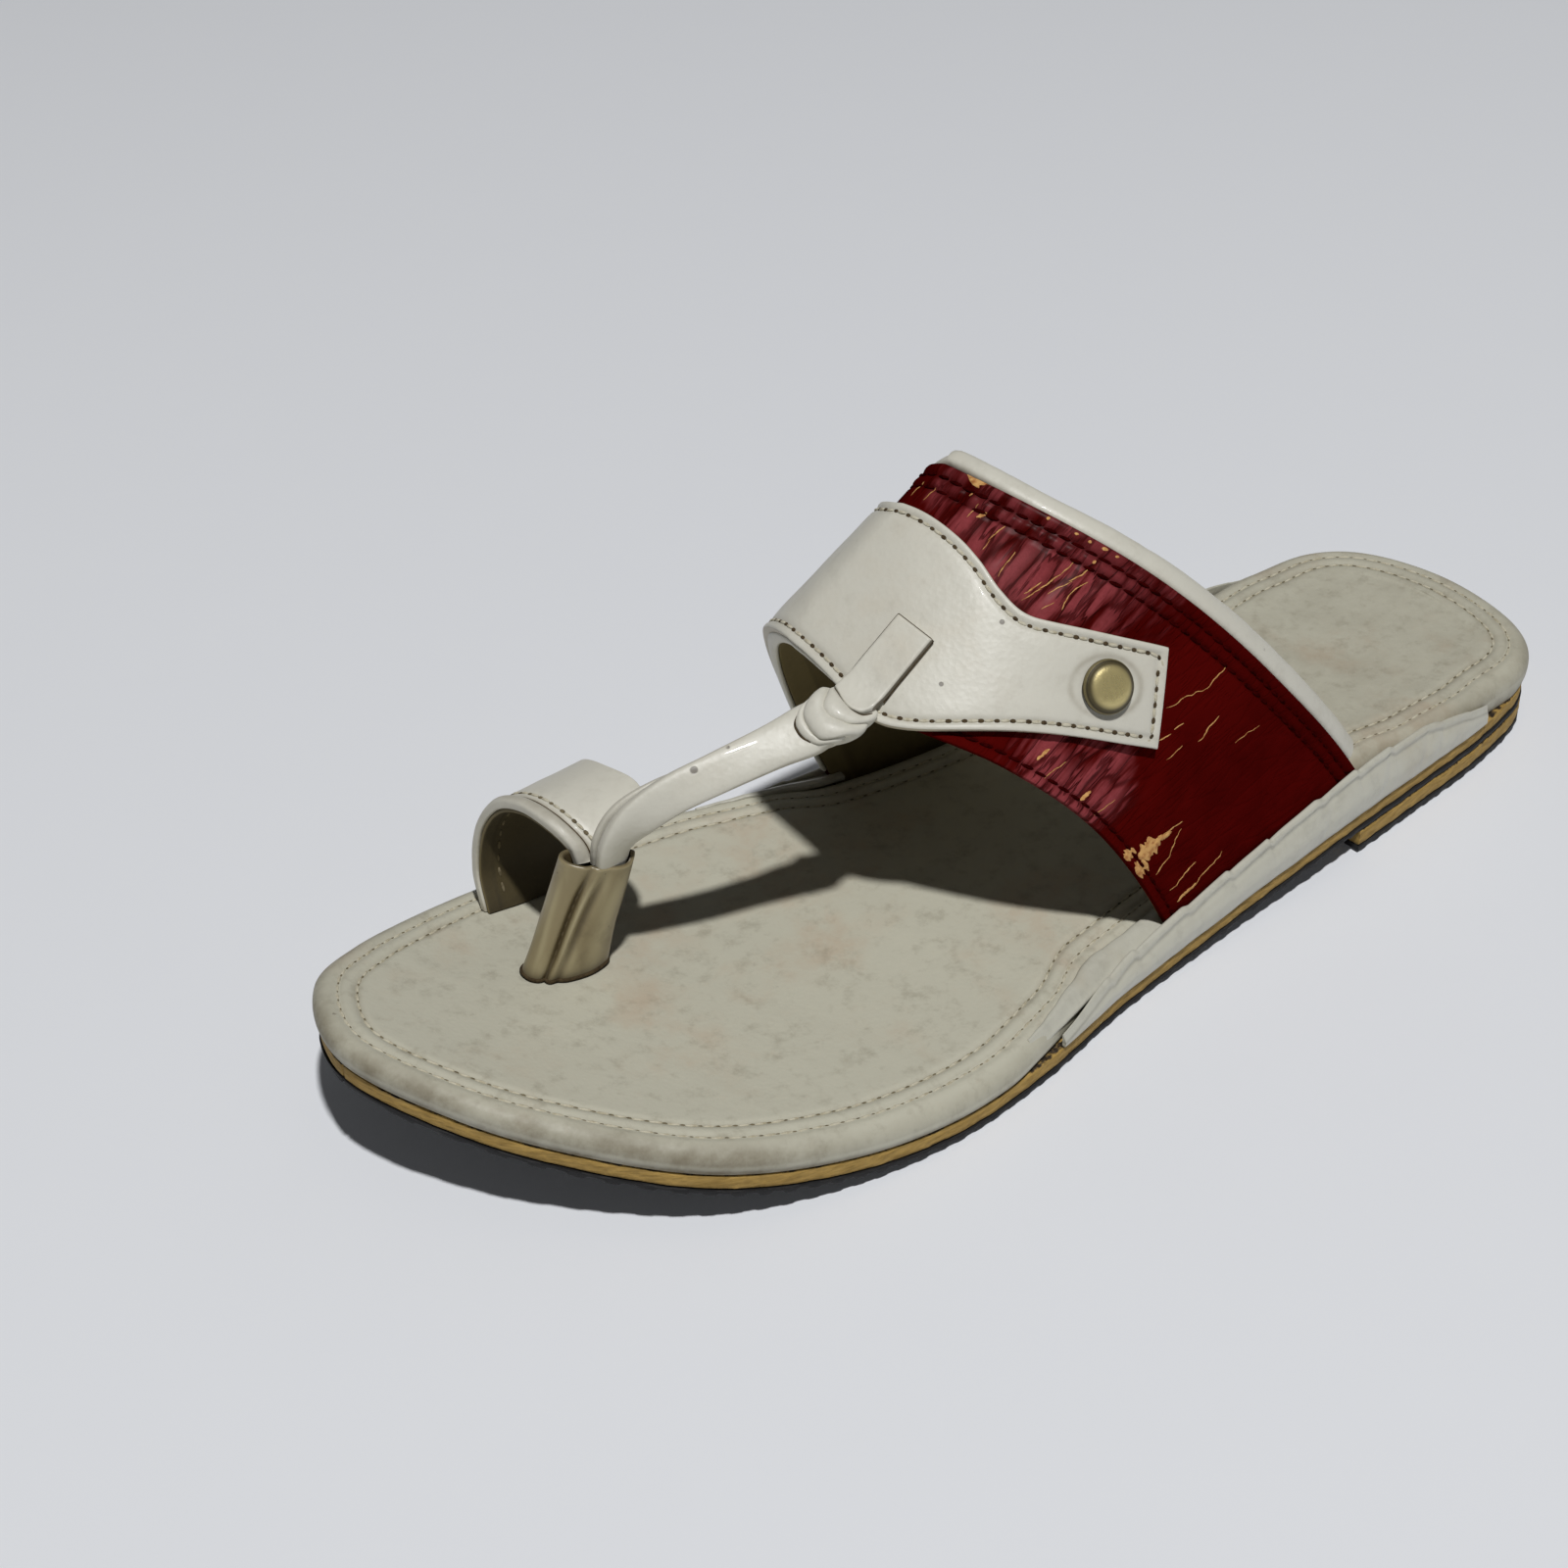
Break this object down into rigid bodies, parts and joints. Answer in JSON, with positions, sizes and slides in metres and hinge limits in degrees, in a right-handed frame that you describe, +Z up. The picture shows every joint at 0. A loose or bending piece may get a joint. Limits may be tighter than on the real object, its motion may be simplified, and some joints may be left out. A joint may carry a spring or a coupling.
{
  "type": "leather sandal",
  "caption": "Left leather sandal: padded footbed on a layered sole with a low heel, an oxblood instep band under a beige saddle strap with a snap, a toe strap, a toe ring and a toe post.",
  "frame": {"origin": "middle of the bounding box's underside, on the floor under the shank", "axes": "+X from heel to toe, +Y to the wearer's left, which is the outer side, +Z up"},
  "size_m": [0.285, 0.1074, 0.0954],
  "materials": {
    "black_rubber": "matt moulded rubber with fine tread",
    "tan_board": "cut edge of pressed leather board, with dark glue",
    "beige_leather": "worn smooth leather, faint grain, waxed stitches",
    "red_leather": "polished oxblood leather with pale cracks",
    "worn_leather": "rubbed shiny leather with upright folds",
    "aged_brass": "aged brass with a dark rim"
  },
  "bodies": {
    "root": {"outsole": "black_rubber", "midsole": "tan_board", "heel_lift": "tan_board", "heel_top_piece": "black_rubber", "footbed": "beige_leather", "rand_lateral": "beige_leather", "rand_medial": "beige_leather", "vamp": "red_leather", "collar_roll": "beige_leather", "saddle_strap": "beige_leather", "toe_strap": "beige_leather", "toe_ring": "beige_leather", "toe_post": "worn_leather", "snap_cap": "aged_brass"}
  },
  "joints": []
}
